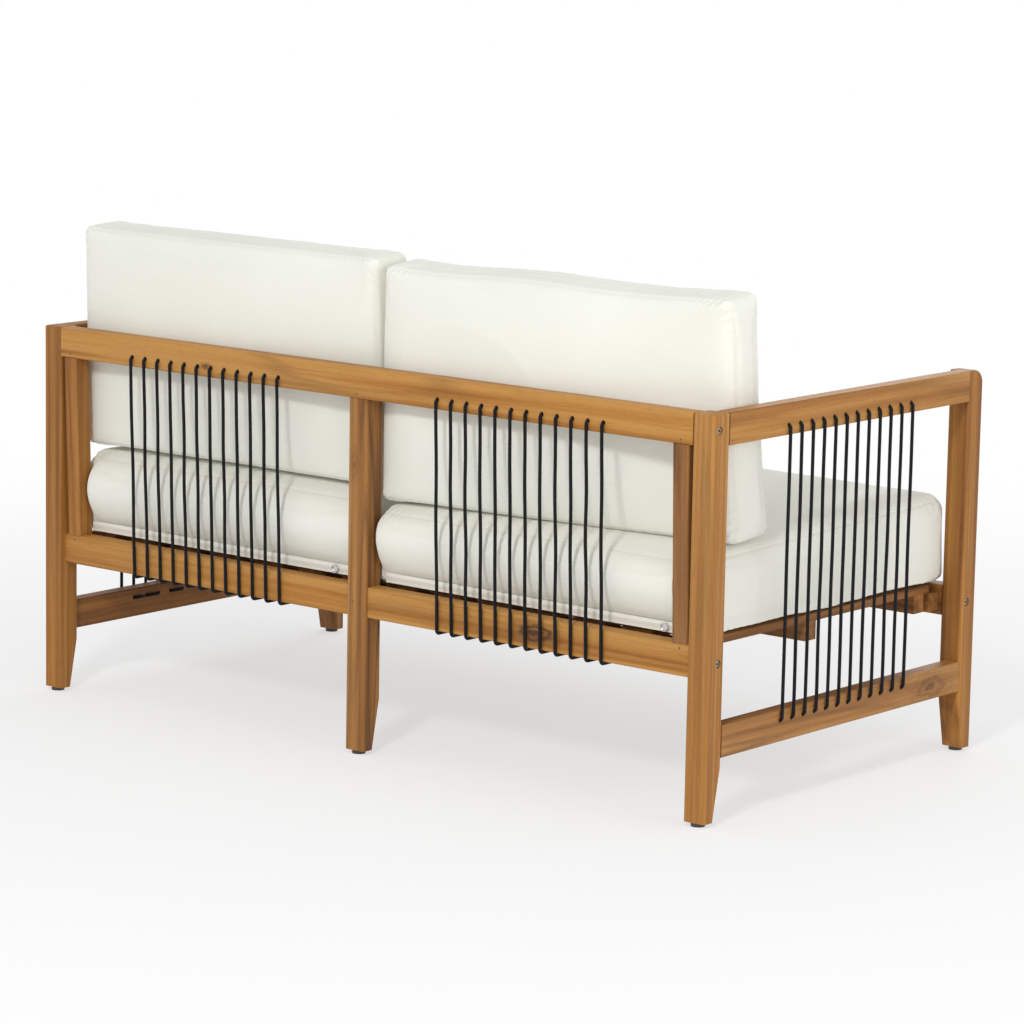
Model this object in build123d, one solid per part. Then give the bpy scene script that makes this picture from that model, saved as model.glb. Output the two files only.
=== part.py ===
from build123d import *
import math
import os

import numpy as np

# Patio loveseat in millimetres, +Z up, front towards -Y, sitter's left towards +X.
# The origin is on the floor, under the middle of the whole piece.
# Five legs, two laced arm frames, a laced back in two bays, a slatted seat and four loose cushions.

# Overall frame, over the wood
frame_width = 1415.0
frame_depth = 727.0
frame_height = 630.0

# Corner posts and the centre leg, all from one square stock
post_side = 40.0
post_edge_round = 5.0
post_top_ease = 2.0
front_corner_round = 22.0
foot_taper_height = 88.0
foot_taper = 16.0

# Rails of the back and the front
rail_height = 50.0
rail_thick = 30.0
rail_edge_round = 3.0
seat_rail_base = 225.0
seat_rail_inset = 10.0

# Rails of the arm frames
arm_thick = 28.0
stretcher_base = 103.0

# Stiles of the back frame
stile_side = 30.0
stile_post_gap = 7.0
centre_leg_inset = 4.0

# Stub tenons and the pins through them
tenon_thick = 10.0
tenon_height = 34.0
tenon_length = 17.0
tenon_end_room = 0.5
stub_width = 18.0
stub_length = 14.0
pin_diameter = 4.0
pin_length = 28.0
pin_from_edge = 7.0
leg_pin_spacing = 13.0

# Frame bolts with barrel nuts
bolt_diameter = 6.0
bolt_hole_room = 0.5
bolt_head_diameter = 10.0
bolt_head_height = 6.0
bolt_head_sink = 2.0
bolt_socket_width = 5.0
bolt_socket_depth = 3.0
counterbore_room = 3.0
bolt_length = 72.0
barrel_diameter = 10.0
barrel_length = 16.0
barrel_room = 0.2
barrel_from_end = 30.0

# Glides under the feet
glide_diameter = 22.0
glide_height = 6.0
glide_nail_diameter = 3.0
glide_nail_length = 14.0

# Seat structure
ledger_thick = 30.0
ledger_height = 30.0
ledger_end_room = 6.0
slat_width = 60.0
slat_thick = 12.0
slat_count = 14
slat_seat_length = 12.0
slat_side_room = 12.5
batten_width = 28.0
batten_ledger_room = 2.5
middle_batten_y = 22.0

# Lacing
cord_diameter = 5.5
cord_sides = 6
cord_hole_room = 2.0
cord_clearance = 0.3
cord_face_clearance = 0.8
cord_back_clearance = 1.2
cord_bend = 5.5
cord_pitch = 30.0
cord_runs = 12
cord_hole_edge = 16.0
cord_link_rise = 20.0
cord_tail = 20.0
arm_lacing_offset = 9.0
rebate_room = 0.4
staple_wire = 1.2
staple_leg = 8.0
staple_room = 0.2

# Cushions
cushion_clearance = 0.3
cushion_split = 2.0
cushion_side_room = 4.5
seat_front_inset = 13.5
seat_rear_room = 3.5
seat_thick = 150.0
seat_crown = 20.0
seat_top_round = 45.0
seat_base_round = 22.0
seat_end_round = 18.0
# Each seat cushion has sunk at its rear under its back cushion
seat_dip_left = 4.0
seat_dip_right = 19.0
back_length = 380.0
back_thick = 90.0
back_crown_front = 32.0
back_edge_round = 18.0
back_end_round = 16.0
# The left one is pressed flat against the top rail, the right one stands turned, with its outer end forward
back_crown_left = 16.0
back_crown_right = 34.0
back_lean_left = 3.5
back_lean_right = 4.5
back_turn_right = 2.0
cushion_draw_in = 4.0
cushion_crown_power = 3

# Zips in the rear edge of the seat cushions
zip_tape_width = 16.0
zip_tape_thick = 1.2
zip_tape_rise = 6.0
zip_end_room = 30.0
zip_teeth_width = 5.0
zip_teeth_thick = 1.0
slider_width = 9.0
slider_length = 12.0
slider_thick = 3.0
slider_edge_round = 1.0
pull_ring_diameter = 14.0
pull_ring_wire = 1.8
slider_left_from_end = 45.0
slider_right_from_end = 38.0

# One overrun for every cut
overrun = 1.0

# Where a cushion's sections stand: shares of its end round, then shares of its width
cushion_end_shares = (0.0, 0.14, 0.5, 1.0)
cushion_width_shares = (0.2, 0.5)

# Places worked out from the sizes above
half_width = frame_width / 2
post_inner = half_width - post_side
cord_radius = cord_diameter / 2
cord_offset = cord_radius + cord_clearance
cord_face_offset = cord_radius + cord_face_clearance
cord_back_offset = cord_radius + cord_back_clearance
back_reach = cord_back_offset + cord_radius
front_y = -(frame_depth + back_reach) / 2
rear_y = front_y + frame_depth
front_post_back = front_y + post_side
rear_post_front = rear_y - post_side
seat_rail_top = seat_rail_base + rail_height
seat_rail_mid = seat_rail_base + rail_height / 2
top_rail_base = frame_height - rail_height
top_rail_mid = frame_height - rail_height / 2
top_rail_front = rear_y - rail_thick
low_rail_rear = rear_y - seat_rail_inset
low_rail_front = low_rail_rear - rail_thick
apron_front = front_y + seat_rail_inset
apron_back = apron_front + rail_thick
leg_rear = rear_y - centre_leg_inset
arm_outer = half_width
arm_inner = half_width - arm_thick
arm_mid = half_width - arm_thick / 2
stretcher_top = stretcher_base + rail_height
stile_outer = post_inner - stile_post_gap
counterbore_diameter = bolt_head_diameter + counterbore_room
counterbore_depth = bolt_head_height + bolt_head_sink
bolt_hole_diameter = bolt_diameter + bolt_hole_room
cord_hole_diameter = cord_diameter + cord_hole_room
slat_top = seat_rail_top
slat_base = slat_top - slat_thick
ledger_base = slat_base - ledger_height
ledger_end = post_inner - ledger_end_room
slat_outer = post_inner - slat_side_room
top_hole_z = top_rail_base + cord_hole_edge
low_hole_z = stretcher_top - cord_hole_edge
parts = {}


def block(x0, x1, y0, y1, z0, z1):
    """A plain box between two corners."""
    box = Box(abs(x1 - x0), abs(y1 - y0), abs(z1 - z0))
    return Pos((x0 + x1) / 2, (y0 + y1) / 2, (z0 + z1) / 2) * box


def eased(solid, axis, radius):
    """Round the edges that run along one axis."""
    return fillet(solid.edges().filter_by(axis), radius)


def rod(start, direction, diameter, length):
    """A round bar that starts at a point."""
    plane = Plane(origin=start, z_dir=direction)
    return extrude(plane * Circle(diameter / 2), length)


def mirrored(solid):
    """The same piece on the sitter's right."""
    return mirror(solid, about=Plane.YZ)


def post_section(depth):
    """The rounded square of the post stock, or its tapered foot."""
    return RectangleRounded(post_side, depth, post_edge_round)


def foot(mid_x, outer_y, towards):
    """The foot of a leg: its inward face tapers, its outward face stays straight."""
    sole_depth = post_side - foot_taper
    upper = Pos(mid_x, outer_y + towards * post_side / 2, foot_taper_height) * post_section(post_side)
    sole = Pos(mid_x, outer_y + towards * sole_depth / 2, glide_height) * post_section(sole_depth)
    return loft([sole, upper], ruled=True)


def leg(mid_x, outer_y, towards, top_z):
    """A square leg with rounded edges on a tapered foot, with the hole of its glide nail."""
    shaft_base = Pos(mid_x, outer_y + towards * post_side / 2, foot_taper_height) * post_section(post_side)
    solid = extrude(shaft_base, top_z - foot_taper_height) + foot(mid_x, outer_y, towards)
    nail_y = outer_y + towards * (post_side - foot_taper) / 2
    return solid - rod((mid_x, nail_y, glide_height), (0, 0, 1), glide_nail_diameter, glide_nail_length)


def bolt_bore(y, z):
    """The bore and counterbore of a frame bolt through a left post, from its outer face."""
    start = (half_width + overrun, y, z)
    bore = rod(start, (-1, 0, 0), bolt_hole_diameter, post_side + 2 * overrun)
    return bore + rod(start, (-1, 0, 0), counterbore_diameter, counterbore_depth + overrun)


def arm_mortise(face_y, towards, base_z):
    """The mortise in a post for the tenon of an arm rail or a stretcher."""
    low = base_z + (rail_height - tenon_height) / 2
    end_y = face_y + towards * (tenon_length + tenon_end_room)
    x0 = arm_mid - tenon_thick / 2
    return block(x0, x0 + tenon_thick, face_y - towards * overrun, end_y, low, low + tenon_height)


def rear_post():
    mid_x = half_width - post_side / 2
    solid = leg(mid_x, rear_y, -1, frame_height)
    solid = chamfer(solid.edges().group_by(Axis.Z)[-1], post_top_ease)
    solid -= bolt_bore(rear_y - rail_thick / 2, top_rail_mid)
    solid -= bolt_bore(low_rail_rear - rail_thick / 2, seat_rail_mid)
    solid -= arm_mortise(rear_post_front, 1, top_rail_base)
    solid -= arm_mortise(rear_post_front, 1, stretcher_base)
    return solid


def front_post():
    mid_x = half_width - post_side / 2
    blank = block(post_inner, half_width, front_y, front_post_back, foot_taper_height, frame_height)
    top_front = blank.edges().filter_by(Axis.X).group_by(Axis.Z)[-1].sort_by(Axis.Y)[0]
    blank = fillet(top_front, front_corner_round)
    outline = blank.faces().sort_by(Axis.X)[0].edges() + blank.faces().sort_by(Axis.X)[-1].edges()
    outline = [edge for edge in outline if edge.center().Z > foot_taper_height + overrun]
    blank = fillet(outline, post_edge_round)
    solid = blank + foot(mid_x, front_y, 1)
    nail_y = front_y + (post_side - foot_taper) / 2
    solid -= rod((mid_x, nail_y, glide_height), (0, 0, 1), glide_nail_diameter, glide_nail_length)
    solid -= bolt_bore(apron_front + rail_thick / 2, seat_rail_mid)
    solid -= arm_mortise(front_post_back, -1, top_rail_base)
    solid -= arm_mortise(front_post_back, -1, stretcher_base)
    return solid


def lacing_places(middle):
    """Where the runs of one lacing stand along its rail, from the highest coordinate down."""
    first = middle + cord_pitch * (cord_runs - 1) / 2
    return [first - i * cord_pitch for i in range(cord_runs)]


arm_places = lacing_places((front_post_back + rear_post_front) / 2 + arm_lacing_offset)
back_places = lacing_places(post_inner / 2)


def arm_bar(base_z, hole_z):
    """A rail of the left arm frame: rounded, tenoned into both posts, drilled for the cord."""
    bar = block(arm_inner, arm_outer, front_post_back, rear_post_front, base_z, base_z + rail_height)
    bar = eased(bar, Axis.Y, rail_edge_round)
    low = base_z + (rail_height - tenon_height) / 2
    x0 = arm_mid - tenon_thick / 2
    bar += block(x0, x0 + tenon_thick, front_post_back - tenon_length, rear_post_front + tenon_length,
                 low, low + tenon_height)
    for y in arm_places:
        bar -= rod((arm_outer + overrun, y, hole_z), (-1, 0, 0), cord_hole_diameter, arm_thick + 2 * overrun)
    return bar


def rail_end_bores(rail, end_x, inward, mid_y, nut_face_y, nut_way, z):
    """The bolt bore in the end of a rail and the barrel nut's blind bore across it."""
    reach = barrel_from_end + barrel_diameter
    rail -= rod((end_x - inward * overrun, mid_y, z), (inward, 0, 0), bolt_hole_diameter, reach + overrun)
    depth = abs(mid_y - nut_face_y) + barrel_length / 2
    start = (end_x + inward * barrel_from_end, nut_face_y - nut_way * overrun, z)
    rail -= rod(start, (0, nut_way, 0), barrel_diameter + barrel_room, depth + overrun)
    return rail


def stub(mid_x, mid_y, base_z, top_z, room=0):
    """A stub tenon on a stile or the centre leg, or its mortise with a little room at the end."""
    half_x = stub_width / 2
    half_y = tenon_thick / 2
    return block(mid_x - half_x, mid_x + half_x, mid_y - half_y, mid_y + half_y, base_z - room, top_z + room)


top_rail_y = rear_y - rail_thick / 2
low_rail_y = low_rail_rear - rail_thick / 2
apron_y = apron_front + rail_thick / 2
leg_y = leg_rear - post_side / 2
stile_x = stile_outer - stile_side / 2
stub_top = top_rail_base + stub_length
stub_low = seat_rail_top - stub_length


def pin(x, face_y, z, way=-1):
    """A round pin driven into a joint from a face."""
    return rod((x, face_y, z), (0, way, 0), pin_diameter, pin_length)


def top_pins():
    """The pins that hold the stiles and the centre leg in the top rail."""
    z = top_rail_base + pin_from_edge
    return [pin(x, rear_y, z) for x in (-stile_x, 0, stile_x)]


def low_stile_pins():
    """The pins that hold the stiles in the lower rails."""
    z = seat_rail_top - pin_from_edge
    return [pin(x, low_rail_rear, z) for x in (-stile_x, stile_x)]


def leg_pins():
    """The pair of pins that hold the two rail tenons in the centre leg."""
    half = leg_pin_spacing / 2
    return [pin(x, leg_rear, seat_rail_mid) for x in (-half, half)]


def top_rail():
    rail = block(-post_inner, post_inner, top_rail_front, rear_y, top_rail_base, frame_height)
    rail = eased(rail, Axis.X, rail_edge_round)
    for side in (-1, 1):
        rail = rail_end_bores(rail, side * post_inner, -side, top_rail_y, top_rail_front, 1, top_rail_mid)
        rail -= stub(side * stile_x, top_rail_y, top_rail_base - overrun, stub_top, tenon_end_room)
        for x in back_places:
            start = (side * x, rear_y + overrun, top_hole_z)
            rail -= rod(start, (0, -1, 0), cord_hole_diameter, rail_thick + 2 * overrun)
    rail -= stub(0, leg_y, top_rail_base - overrun, stub_top, tenon_end_room)
    for one in top_pins():
        rail -= one
    return rail


def low_rail():
    """The left lower rail of the back: tenoned into the centre leg, bolted to the rear post."""
    leg_side = post_side / 2
    rail = block(leg_side, post_inner, low_rail_front, low_rail_rear, seat_rail_base, seat_rail_top)
    rail = eased(rail, Axis.X, rail_edge_round)
    low = seat_rail_mid - tenon_height / 2
    rail += block(leg_side - tenon_length, leg_side + overrun, low_rail_y - tenon_thick / 2,
                  low_rail_y + tenon_thick / 2, low, low + tenon_height)
    rail = rail_end_bores(rail, post_inner, -1, low_rail_y, low_rail_front, 1, seat_rail_mid)
    rail -= stub(stile_x, low_rail_y, stub_low, seat_rail_top + overrun, tenon_end_room)
    for one in low_stile_pins() + leg_pins():
        rail -= one
    for leg_box in staple_legs():
        rail -= leg_box
    return rail


def stile():
    """The left stile of the back frame, leaning with the lacing, tenoned and pinned at both ends."""
    section = RectangleRounded(stile_side, stile_side, rail_edge_round)
    lower = Pos(stile_x, low_rail_y, seat_rail_top) * section
    upper = Pos(stile_x, top_rail_y, top_rail_base) * section
    solid = loft([lower, upper], ruled=True)
    solid += stub(stile_x, top_rail_y, top_rail_base - overrun, stub_top)
    solid += stub(stile_x, low_rail_y, stub_low, seat_rail_top + overrun)
    for one in top_pins() + low_stile_pins():
        solid -= one
    return solid


def centre_leg():
    solid = leg(0, leg_rear, -1, top_rail_base)
    solid += stub(0, leg_y, top_rail_base - overrun, stub_top)
    low = seat_rail_mid - tenon_height / 2
    reach = post_side / 2 + overrun
    for side in (-1, 1):
        end = post_side / 2 - tenon_length - tenon_end_room
        solid -= block(side * end, side * reach, low_rail_y - tenon_thick / 2, low_rail_y + tenon_thick / 2,
                       low, low + tenon_height)
    for one in top_pins() + leg_pins():
        solid -= one
    return solid


def apron():
    rail = block(-post_inner, post_inner, apron_front, apron_back, seat_rail_base, seat_rail_top)
    rail = eased(rail, Axis.X, rail_edge_round)
    for side in (-1, 1):
        rail = rail_end_bores(rail, side * post_inner, -side, apron_y, apron_back, -1, seat_rail_mid)
    return rail


def front_ledger():
    return block(-ledger_end, ledger_end, apron_back, apron_back + ledger_thick, ledger_base, slat_base)


rebate_depth = cord_clearance + cord_diameter + staple_room + staple_wire + rebate_room
link_z = seat_rail_base + cord_link_rise
rebate_top = link_z + cord_tail / 2


def rear_ledger():
    """The left rear ledger, rebated over the cord where it turns on the inner face of the rail."""
    leg_room = post_side / 2 + cord_clearance
    bar = block(leg_room, ledger_end, low_rail_front - ledger_thick, low_rail_front, ledger_base, slat_base)
    return bar - block(leg_room - overrun, ledger_end + overrun, low_rail_front - rebate_depth,
                       low_rail_front + overrun, ledger_base - overrun, rebate_top)


slat_front_end = apron_back + ledger_thick - slat_seat_length
slat_rear_end = low_rail_front - ledger_thick + slat_seat_length


def slat(index):
    pitch = (2 * slat_outer - slat_width) / (slat_count - 1)
    x0 = -slat_outer + index * pitch
    return block(x0, x0 + slat_width, slat_front_end, slat_rear_end, slat_base, slat_top)


def batten(mid_y):
    half = batten_width / 2
    return block(-slat_outer, slat_outer, mid_y - half, mid_y + half, ledger_base, slat_base)


def glide(mid_x, mid_y):
    pad = rod((mid_x, mid_y, 0), (0, 0, 1), glide_diameter, glide_height)
    return pad + rod((mid_x, mid_y, 0), (0, 0, 1), glide_nail_diameter, glide_height + glide_nail_length)


def glides():
    half_sole = (post_side - foot_taper) / 2
    corner_x = half_width - post_side / 2
    spots = [(0, leg_rear - half_sole)]
    for side in (-1, 1):
        spots += [(side * corner_x, rear_y - half_sole), (side * corner_x, front_y + half_sole)]
    return Compound([glide(x, y) for x, y in spots])


bolt_rows = ((top_rail_y, top_rail_mid), (low_rail_y, seat_rail_mid), (apron_y, seat_rail_mid))


def bolt(side, y, z):
    """A socket-head bolt, sunk in its counterbore."""
    head_x = side * (half_width - bolt_head_sink)
    body = rod((head_x, y, z), (-side, 0, 0), bolt_head_diameter, bolt_head_height)
    body += rod((head_x, y, z), (-side, 0, 0), bolt_diameter, bolt_length)
    socket = Plane(origin=(head_x, y, z), z_dir=(-side, 0, 0)) * RegularPolygon(bolt_socket_width / 2, 6)
    return body - extrude(socket, bolt_socket_depth)


def bolts():
    return Compound([bolt(side, y, z) for side in (-1, 1) for y, z in bolt_rows])


def barrel_nut(side, y, z):
    x = side * (post_inner - barrel_from_end)
    nut = rod((x, y - barrel_length / 2, z), (0, 1, 0), barrel_diameter, barrel_length)
    bore_start = (x - side * barrel_diameter, y, z)
    return nut - rod(bore_start, (side, 0, 0), bolt_diameter + barrel_room, 2 * barrel_diameter)


def barrel_nuts():
    return Compound([barrel_nut(side, y, z) for side in (-1, 1) for y, z in bolt_rows])


def cord(name, points, radii):
    """A cord along straight runs and tangent arcs, with its volume and least gap printed."""
    path = FilletPolyline(*points, radius=radii)
    start = Vector(*points[0])
    section = Plane(origin=start, z_dir=Vector(*points[1]) - start) * RegularPolygon(cord_radius, cord_sides)
    solid = sweep(section, path=path)
    expected = section.area * path.length
    count = int(path.length / cord_diameter)
    spots = np.array([tuple(path.position_at(i / count)) for i in range(count + 1)])
    apart = np.linalg.norm(spots[:, None, :] - spots[None, :, :], axis=2)
    steps = abs(np.arange(count + 1)[:, None] - np.arange(count + 1)[None, :])
    near = math.ceil(math.pi * 2 * cord_bend / cord_diameter)
    least = apart[steps > near].min() - cord_diameter
    print(f"{name}: length {path.length:.0f}, volume {solid.volume:.0f} against {expected:.0f},"
          f" bends from {min(radii):.1f}, least gap {least:.2f}")
    return solid


def arm_lacing():
    """The left arm's cord: through each hole, up or down outside, and on by a link inside."""
    outer = arm_outer + cord_face_offset
    inner = arm_inner - cord_face_offset
    points = [(inner, arm_places[0] - cord_tail, low_hole_z)]
    rising = True
    for y in arm_places:
        ends = (low_hole_z, top_hole_z) if rising else (top_hole_z, low_hole_z)
        points += [(inner, y, ends[0]), (outer, y, ends[0]), (outer, y, ends[1]), (inner, y, ends[1])]
        rising = not rising
    points.append((inner, arm_places[-1] + cord_tail, low_hole_z))
    return cord("arm lacing", points, [cord_bend] * (len(points) - 2))


under_bend = rail_edge_round + cord_offset
wrap_under_z = seat_rail_base - cord_offset
wrap_rear_y = low_rail_rear + cord_offset
wrap_front_y = low_rail_front - cord_offset
top_run_y = rear_y + cord_back_offset
top_link_y = top_rail_front - cord_face_offset
tail_z = link_z + cord_radius


def back_lacing():
    """The left bay's cord: through the top rail, down behind, under the lower rail and up inside."""
    points = [(back_places[0], wrap_front_y, tail_z)]
    radii = []
    rising = True
    for index, x in enumerate(back_places):
        low_corners = [(x, wrap_front_y, wrap_under_z), (x, wrap_rear_y, wrap_under_z)]
        top_corners = [(x, top_run_y, top_hole_z), (x, top_link_y, top_hole_z)]
        if rising:
            if index:
                points.append((x, wrap_front_y, link_z))
                radii.append(cord_bend)
            points += low_corners + top_corners
            radii += [under_bend, under_bend, cord_bend, cord_bend]
        else:
            points += top_corners[::-1] + low_corners[::-1]
            radii += [cord_bend, cord_bend, under_bend, under_bend]
            if index < cord_runs - 1:
                points.append((x, wrap_front_y, link_z))
                radii.append(cord_bend)
        rising = not rising
    points.append((back_places[-1], wrap_front_y, tail_z))
    return cord("back lacing", points, radii)


def staple_spots():
    """Middles of the cord under each staple, and whether the cord runs across there."""
    spots = [(back_places[0], False), (back_places[-1], False)]
    spots += [(back_places[i] - cord_pitch / 2, True) for i in range(1, cord_runs - 1, 2)]
    return spots


staple_half = cord_radius + staple_room + staple_wire / 2
staple_crown_y = wrap_front_y - cord_radius - staple_room - staple_wire
staple_mid_z = (wrap_under_z + link_z) / 2 + cord_radius


def staple_pieces(x, across):
    """The crown and two legs of one staple."""
    half = staple_wire / 2
    legs = []
    for way in (-1, 1):
        leg_x = x if across else x + way * staple_half
        leg_z = link_z + way * staple_half if across else staple_mid_z
        legs.append(block(leg_x - half, leg_x + half, staple_crown_y, low_rail_front + staple_leg,
                          leg_z - half, leg_z + half))
    mid_z = link_z if across else staple_mid_z
    wide_x = half if across else staple_half + half
    wide_z = staple_half + half if across else half
    crown = block(x - wide_x, x + wide_x, staple_crown_y, staple_crown_y + staple_wire,
                  mid_z - wide_z, mid_z + wide_z)
    return crown, legs


def staple_legs():
    """The legs of every staple, as the left lower rail is cut for them."""
    return [leg_box for x, across in staple_spots() for leg_box in staple_pieces(x, across)[1]]


def staples():
    found = []
    for x, across in staple_spots():
        crown, legs = staple_pieces(x, across)
        solid = crown + legs[0] + legs[1]
        found += [solid, mirrored(solid)]
    return Compound(found)


def bowed(start, end, bow):
    """A line, or a shallow arc that stands off it by bow, to the right of its direction."""
    if not bow:
        return Line(start, end)
    along = Vector(*end) - Vector(*start)
    middle = (Vector(*start) + Vector(*end)) / 2
    off = Vector(along.Y, -along.X, 0).normalized() * bow
    return ThreePointArc(start, tuple(middle + off), end)


def quarter(start, corner, end):
    """A quarter round between two points, about the corner opposite the one they share."""
    start, corner, end = Vector(*start), Vector(*corner), Vector(*end)
    middle = corner + (start + end - 2 * corner) * (1 - math.sqrt(2) / 2)
    return ThreePointArc(tuple(start), tuple(middle), tuple(end))


def cushion_section(front, rear, low, high, round_base, round_top, crown_base, crown_top, dip):
    """One upright section of a boxed cushion, its top lower by dip at the rear: across is X, height is Y."""
    rear_high = high - dip
    rb = round_base
    rt = round_top
    outline = [
        bowed((front + rb, low), (rear - rb, low), crown_base),
        quarter((rear - rb, low), (rear, low), (rear, low + rb)),
        Line((rear, low + rb), (rear, rear_high - rt)),
        quarter((rear, rear_high - rt), (rear, rear_high), (rear - rt, rear_high)),
        bowed((rear - rt, rear_high), (front + rt, high), crown_top),
        quarter((front + rt, high), (front, high), (front, high - rt)),
        Line((front, high - rt), (front, low + rb)),
        quarter((front, low + rb), (front, low), (front + rb, low)),
    ]
    return make_face(outline)


def crown_share(across):
    """How much of the crown a cushion has at a share of its half width from its middle."""
    return 1 - abs(across) ** cushion_crown_power


def cushion(width, front, rear, thick, end_round, rounds, crowns, draw_ins, dip=0):
    """A boxed cushion lying flat, its foot at height 0: crowned, its sides drawn in between the corners."""
    reaches = [end_round * share for share in cushion_end_shares]
    reaches += [width * share for share in cushion_width_shares]
    reaches += [width - reach for reach in reaches[-2::-1]]
    sections = []
    for reach in reaches:
        from_end = min(reach, width - reach, end_round)
        inset = end_round - math.sqrt(end_round ** 2 - (end_round - from_end) ** 2)
        full = crown_share(2 * reach / width - 1)
        tight = 1 - inset / end_round / 2
        face = cushion_section(front + inset + draw_ins[0] * full, rear - inset - draw_ins[1] * full,
                               inset, thick - inset, rounds[0] * tight, rounds[1] * tight,
                               crowns[0] * full, crowns[1] * full, dip)
        plane = Plane(origin=(reach - width / 2, 0, 0), x_dir=(0, 1, 0), z_dir=(1, 0, 0))
        sections.append(plane * face)
    return loft(sections, ruled=True)


seat_cushion_inner = cushion_split / 2
seat_cushion_outer = post_inner - cushion_side_room
cushion_width = seat_cushion_outer - seat_cushion_inner
cushion_mid_x = (seat_cushion_inner + seat_cushion_outer) / 2
seat_cushion_front = front_y + seat_front_inset
seat_cushion_rear = low_rail_front - seat_rear_room
seat_cushion_base = seat_rail_top + cushion_clearance


def seat_cushion(side, dip):
    """A seat cushion: flat below, its rear side straight for the zip."""
    solid = cushion(cushion_width, seat_cushion_front, seat_cushion_rear, seat_thick, seat_end_round,
                    (seat_base_round, seat_top_round), (0, seat_crown), (cushion_draw_in, 0), dip)
    return Pos(side * cushion_mid_x, 0, seat_cushion_base) * solid


def seat_surface(y, dip):
    """The height of a seat cushion's crown along its middle."""
    front = seat_cushion_front + cushion_draw_in + seat_top_round
    rear = seat_cushion_rear - seat_top_round
    off = (2 * y - front - rear) / (rear - front)
    return seat_cushion_base + seat_thick - dip * (1 + off) / 2 + seat_crown * (1 - off ** 2)


def back_cushion(side, crown, lean, turn, dip):
    """A back cushion: it stands on the seat cushion's crown and leans on the cord at the top rail."""
    half = back_length / 2
    rounds = (back_edge_round, back_edge_round)
    solid = cushion(cushion_width, -half, half, back_thick, back_end_round, rounds,
                    (back_crown_front, crown), (cushion_draw_in, 0))
    solid = Rot(Z=turn) * Rot(X=-90 - lean) * Pos(0, 0, -back_thick / 2) * solid
    mid_y = top_link_y - cord_radius - cushion_clearance - solid.bounding_box().max.Y
    lean = math.radians(lean)
    rise = []
    for way in (-1, 1):
        across = way * (back_thick / 2 - back_edge_round)
        foot_y = mid_y - half * math.sin(lean) + across * math.cos(lean)
        rise.append(seat_surface(foot_y, dip) + half * math.cos(lean) + across * math.sin(lean))
    mid_z = max(rise) + cushion_clearance
    return Pos(side * cushion_mid_x, mid_y, mid_z) * solid


tape_front = seat_cushion_rear + cushion_clearance
tape_base = seat_cushion_base + zip_tape_rise


def zip_tape():
    """The zip along the lower rear edge of the left seat cushion: a tape with its closed teeth."""
    x0 = seat_cushion_inner + zip_end_room
    x1 = seat_cushion_outer - zip_end_room
    rear = tape_front + zip_tape_thick
    tape = block(x0, x1, tape_front, rear, tape_base, tape_base + zip_tape_width)
    mid_z = tape_base + zip_tape_width / 2
    half = zip_teeth_width / 2
    return tape + block(x0, x1, rear, rear + zip_teeth_thick, mid_z - half, mid_z + half)


def zip_slider(mid_x):
    """A zip slider on the teeth, with its pull ring hanging from a small loop."""
    base_y = tape_front + zip_tape_thick + zip_teeth_thick + cushion_clearance
    mid_z = tape_base + zip_tape_width / 2
    body = block(mid_x - slider_length / 2, mid_x + slider_length / 2, base_y, base_y + slider_thick,
                 mid_z - slider_width / 2, mid_z + slider_width / 2)
    body = fillet(body.edges().filter_by(Axis.Y), slider_edge_round)
    ring_face = Plane(origin=(mid_x, base_y + slider_thick, mid_z), z_dir=(0, 1, 0))
    ring = ring_face * Circle(pull_ring_diameter / 2)
    ring -= ring_face * Circle(pull_ring_diameter / 2 - pull_ring_wire)
    return body + extrude(ring, pull_ring_wire)


parts["rear_post_left"] = rear_post()
parts["front_post_left"] = front_post()
parts["arm_rail_left"] = arm_bar(top_rail_base, top_hole_z)
parts["arm_stretcher_left"] = arm_bar(stretcher_base, low_hole_z)
parts["back_lower_rail_left"] = low_rail()
parts["back_stile_left"] = stile()
parts["rear_ledger_left"] = rear_ledger()
parts["zip_tape_left"] = zip_tape()
parts["arm_lacing_left"] = arm_lacing()
parts["back_lacing_left"] = back_lacing()
for left_name in list(parts):
    parts[left_name.replace("left", "right")] = mirrored(parts[left_name])

parts["seat_cushion_left"] = seat_cushion(1, seat_dip_left)
parts["seat_cushion_right"] = seat_cushion(-1, seat_dip_right)
parts["back_cushion_left"] = back_cushion(1, back_crown_left, back_lean_left, 0, seat_dip_left)
parts["back_cushion_right"] = back_cushion(-1, back_crown_right, back_lean_right, back_turn_right,
                                           seat_dip_right)
parts["back_top_rail"] = top_rail()
parts["back_centre_leg"] = centre_leg()
parts["front_apron"] = apron()
parts["front_ledger"] = front_ledger()
parts["batten_front"] = batten(apron_back + ledger_thick + batten_ledger_room + batten_width / 2)
parts["batten_middle"] = batten(middle_batten_y)
parts["batten_rear"] = batten(low_rail_front - ledger_thick - batten_ledger_room - batten_width / 2)
for slat_index in range(slat_count):
    parts[f"seat_slat_{slat_index + 1:02d}"] = slat(slat_index)
parts["zip_slider_left"] = zip_slider(seat_cushion_inner + zip_end_room + slider_left_from_end)
parts["zip_slider_right"] = zip_slider(-seat_cushion_outer + zip_end_room + slider_right_from_end)
parts["foot_glides"] = glides()
parts["frame_bolts"] = bolts()
parts["barrel_nuts"] = barrel_nuts()
parts["joint_pins"] = Compound(top_pins() + low_stile_pins() + leg_pins())
parts["cord_staples"] = staples()

os.makedirs("parts", exist_ok=True)
for name, shape in parts.items():
    export_step(shape, f"parts/{name}.step")
print(len(parts), "parts")
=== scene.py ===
import math
import random

import bmesh
import bpy
from mathutils import Matrix, Vector, bvhtree, noise


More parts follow.
